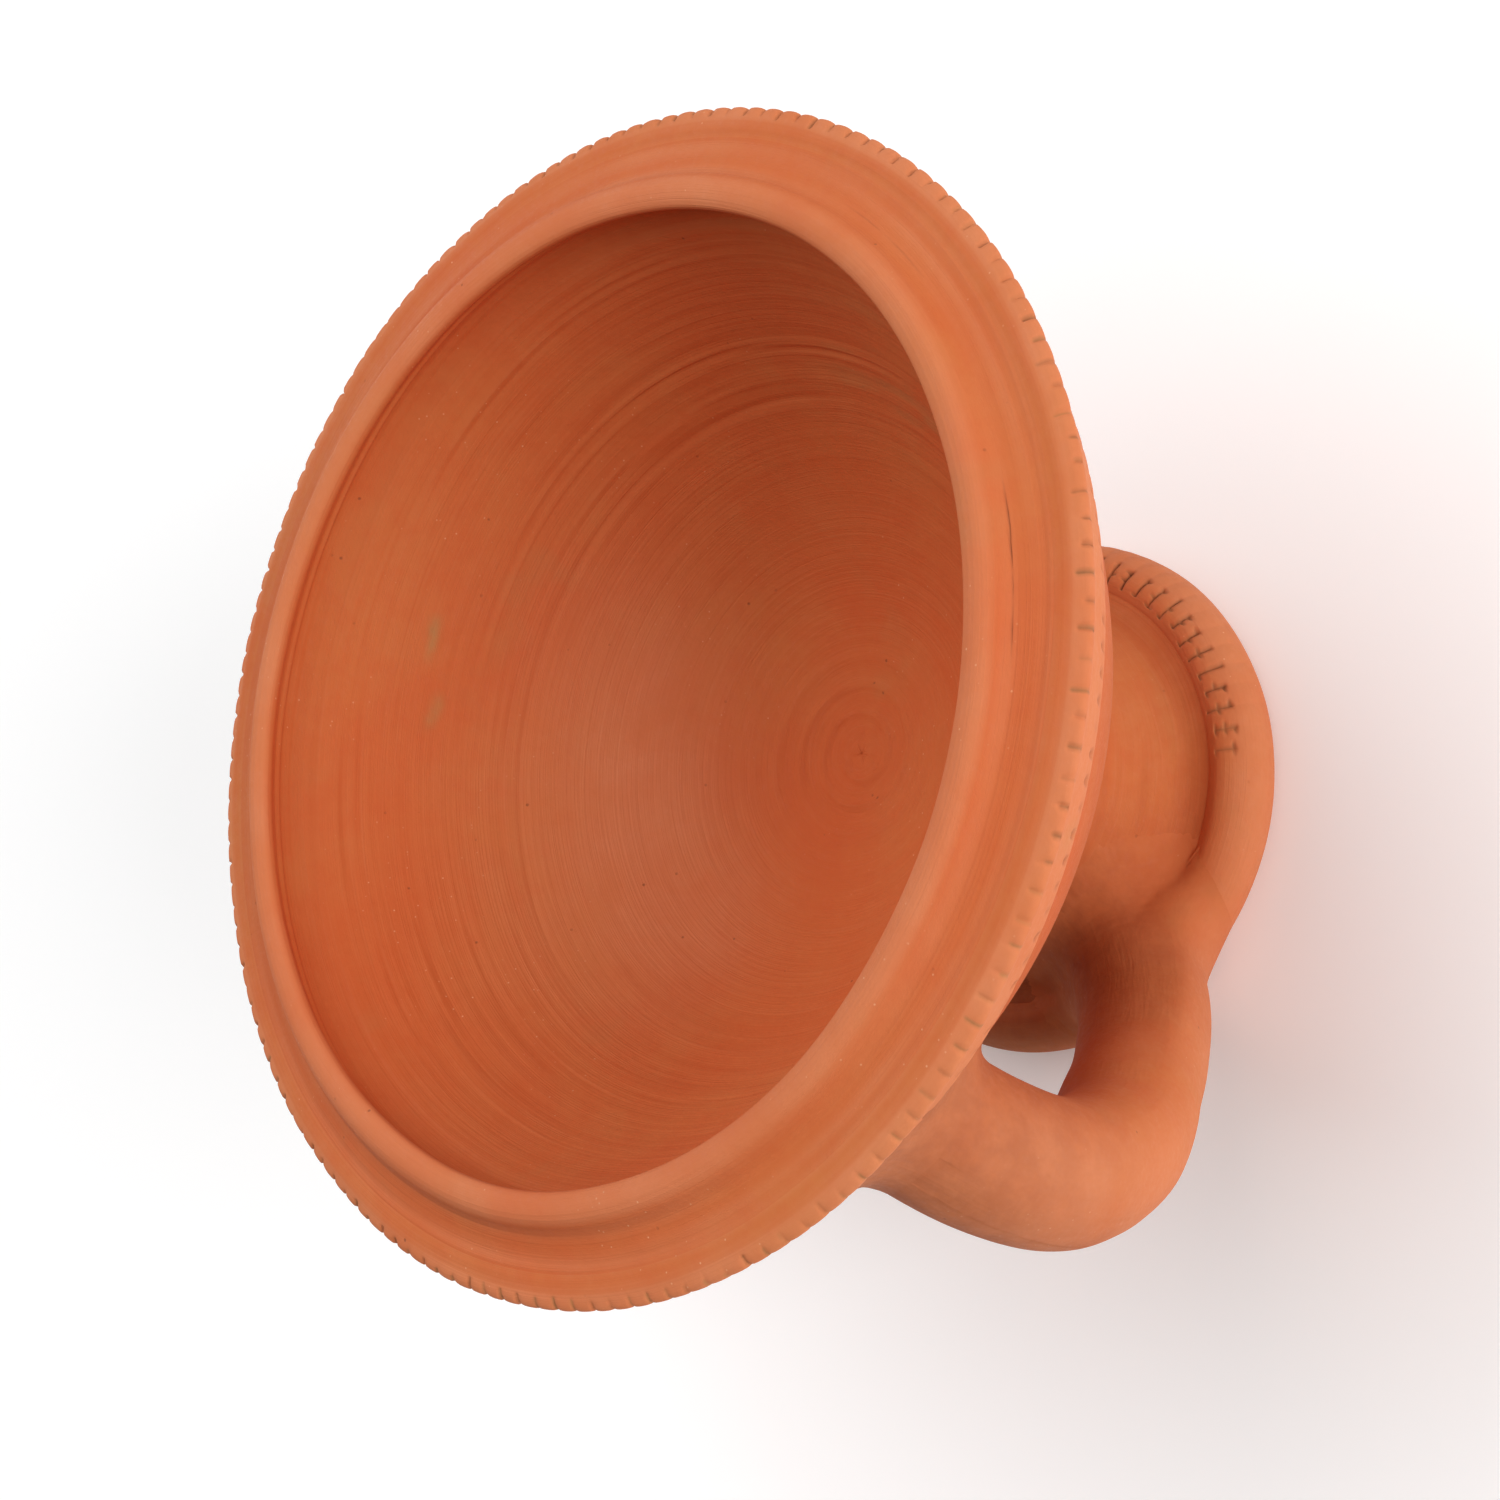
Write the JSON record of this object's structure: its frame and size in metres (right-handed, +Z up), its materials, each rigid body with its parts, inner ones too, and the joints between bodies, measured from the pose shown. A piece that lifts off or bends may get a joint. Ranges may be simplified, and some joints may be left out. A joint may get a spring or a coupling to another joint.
{
  "type": "oil lamp",
  "caption": "Terracotta diya lamp: an open thrown bowl with a raised lip and notched flat rim, on a hollow trumpet foot with a notched foot ring, and one thick coiled side handle.",
  "frame": {"origin": "centre of the lamp's footprint, on the ground plane that its foot ring stands on", "axes": "+Z is up, towards the bowl's mouth. +X runs from the foot's axis to the side that the handle is on. +Y is to the left of +X seen from above"},
  "size_m": [0.1286, 0.125, 0.086],
  "materials": {
    "bowl_clay": "matte unglazed terracotta, fine throwing lines",
    "rim_clay": "matte unglazed terracotta, wiped smooth",
    "foot_clay": "matte unglazed terracotta",
    "handle_clay": "matte unglazed terracotta, hand-rolled and wiped"
  },
  "bodies": {
    "root": {"bowl": "bowl_clay", "flange_ring": "rim_clay", "waist_coil": "foot_clay", "pedestal": "foot_clay", "foot_ring": "foot_clay", "handle": "handle_clay", "handle_upper_wad": "handle_clay", "handle_lower_wad": "handle_clay"}
  },
  "joints": []
}
